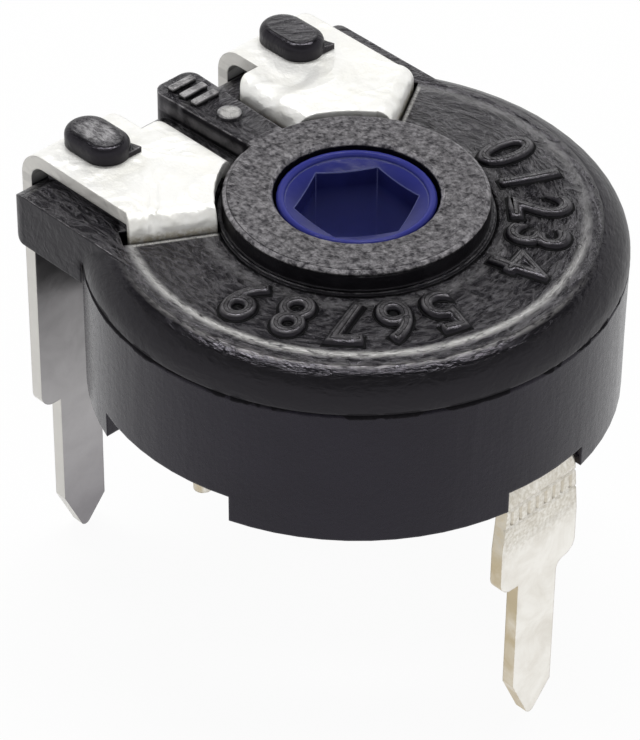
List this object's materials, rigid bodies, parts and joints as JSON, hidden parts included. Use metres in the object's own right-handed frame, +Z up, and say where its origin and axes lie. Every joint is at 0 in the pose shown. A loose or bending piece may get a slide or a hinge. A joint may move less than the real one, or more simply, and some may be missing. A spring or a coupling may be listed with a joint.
{
  "type": "trimmer potentiometer",
  "caption": "Single-turn carbon trimmer potentiometer with a round black housing, blue rotor with hexagonal socket, and flat tinned pins for board-parallel mounting.",
  "frame": {"origin": "where the rotor's axis meets the board's upper face, on which the pins' shoulders stand", "axes": "+Z up along the rotor's axis, away from the board; +X from the axis to the wiper pin, away from the two end pins; +Y to the right-hand end pin as seen from the wiper pin"},
  "size_m": [0.0105, 0.0102, 0.01],
  "materials": {
    "cover_plastic": "satin",
    "cup_plastic": "satin",
    "rotor_plastic": "glossy",
    "tin_plate": "satin",
    "wiper_plate": "satin",
    "spring_brass": "satin",
    "laminate": "matte",
    "carbon": "matte",
    "silver": "matte"
  },
  "bodies": {
    "housing": {"cover": "cover_plastic", "base_cup": "cup_plastic", "wiper_terminal": "wiper_plate", "end_terminal_left": "tin_plate", "end_terminal_right": "tin_plate", "track_substrate": "laminate", "carbon_track": "carbon", "end_contact_left": "silver", "end_contact_right": "silver"},
    "rotor": {"rotor": "rotor_plastic", "wiper_contact": "spring_brass"}
  },
  "joints": [
    {"name": "rotor_turn", "type": "hinge", "parent": "housing", "child": "rotor", "pos_m": [0, 0, 0], "axis": [0, 0, 1], "range_deg": [-117.5, 117.5]}
  ]
}
